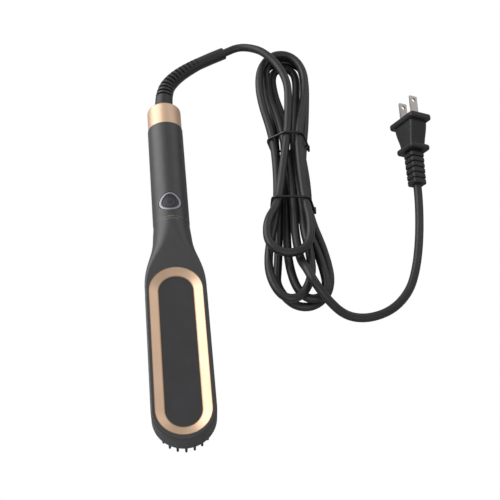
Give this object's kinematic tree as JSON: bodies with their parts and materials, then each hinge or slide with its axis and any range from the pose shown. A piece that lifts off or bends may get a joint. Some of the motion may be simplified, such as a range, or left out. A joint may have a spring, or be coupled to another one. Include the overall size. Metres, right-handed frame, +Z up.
{
  "type": "beard straightener brush",
  "caption": "Heated beard straightener brush with a dished gold ring, power button, gold tail collar, ribbed swivel boot and a tied mains cord with plug.",
  "frame": {"origin": "centre of the brush's box on the surface that it lies on, its free cord left out", "axes": "+Y from the head's tip to the cord end of the handle, +X to the right seen from the head, +Z up from the guard pins to the ring"},
  "size_m": [0.2145, 0.3301, 0.0335],
  "materials": {
    "housing_plastic": "fine satin",
    "gold_metal": "brushed champagne gold",
    "panel_plastic": "matte",
    "button_plastic": "satin",
    "rim_plastic": "satin grey",
    "comb_plastic": "matte",
    "heater_aluminium": "satin",
    "tip_plastic": "matte",
    "element_ceramic": "matte",
    "sheet_film": "satin",
    "clamp_steel": "plain",
    "screw_steel": "zinc plated",
    "board_green": "solder mask",
    "chip_black": "matte",
    "capacitor_yellow": "satin",
    "terminal_white": "satin",
    "light_clear": "clear",
    "sleeve_plastic": "satin",
    "boot_rubber": "satin",
    "cord_rubber": "satin",
    "tie_black": "satin",
    "plug_vinyl": "matte",
    "blade_metal": "nickel plated",
    "lead_red": "satin",
    "lead_blue": "satin"
  },
  "bodies": {
    "cord_set": {"swivel_sleeve": "sleeve_plastic", "cord_core": "cord_rubber", "strain_relief_boot": "boot_rubber", "cord_lead": "cord_rubber", "cord_hank": "cord_rubber", "cord_tail": "cord_rubber", "tie_upper": "tie_black", "tie_lower": "tie_black", "plug_body": "plug_vinyl", "plug_blade_left": "blade_metal", "plug_blade_right": "blade_metal"},
    "brush": {"upper_housing": "housing_plastic", "lower_housing": "housing_plastic", "gold_ring": "gold_metal", "back_panel": "panel_plastic", "comb_frame": "comb_plastic", "heater_plate": "heater_aluminium", "tooth_tips": "tip_plastic", "heating_element_front": "element_ceramic", "heating_element_rear": "element_ceramic", "insulation_sheet": "sheet_film", "heater_clamp": "clamp_steel", "clamp_screws": "screw_steel", "frame_screws": "screw_steel", "thermal_fuse": "clamp_steel", "temperature_sensor": "chip_black", "main_board": "board_green", "board_screws": "screw_steel", "power_triac": "chip_black", "filter_capacitor": "capacitor_yellow", "terminal_block": "terminal_white", "indicator_leds": "light_clear", "light_guide": "light_clear", "tact_switch": "chip_black", "housing_screws": "screw_steel", "heater_leads": "lead_red", "sensor_leads": "lead_blue", "live_lead": "lead_red", "neutral_lead": "lead_blue", "tail_collar": "gold_metal", "swivel_retainer": "sleeve_plastic"},
    "button": {"power_button": "button_plastic", "button_rim": "rim_plastic", "switch_plunger": "chip_black"}
  },
  "joints": [
    {"name": "cord_swivel", "type": "hinge", "parent": "cord_set", "child": "brush", "pos_m": [0, 0.1215, 0.0132], "axis": [0, 1, 0], "range_deg": [-180, 180]},
    {"name": "power_button", "type": "slide", "parent": "brush", "child": "button", "axis": [0, 0, -1], "range_m": [0, 0.0005], "stiffness_N_per_m": 2500}
  ]
}
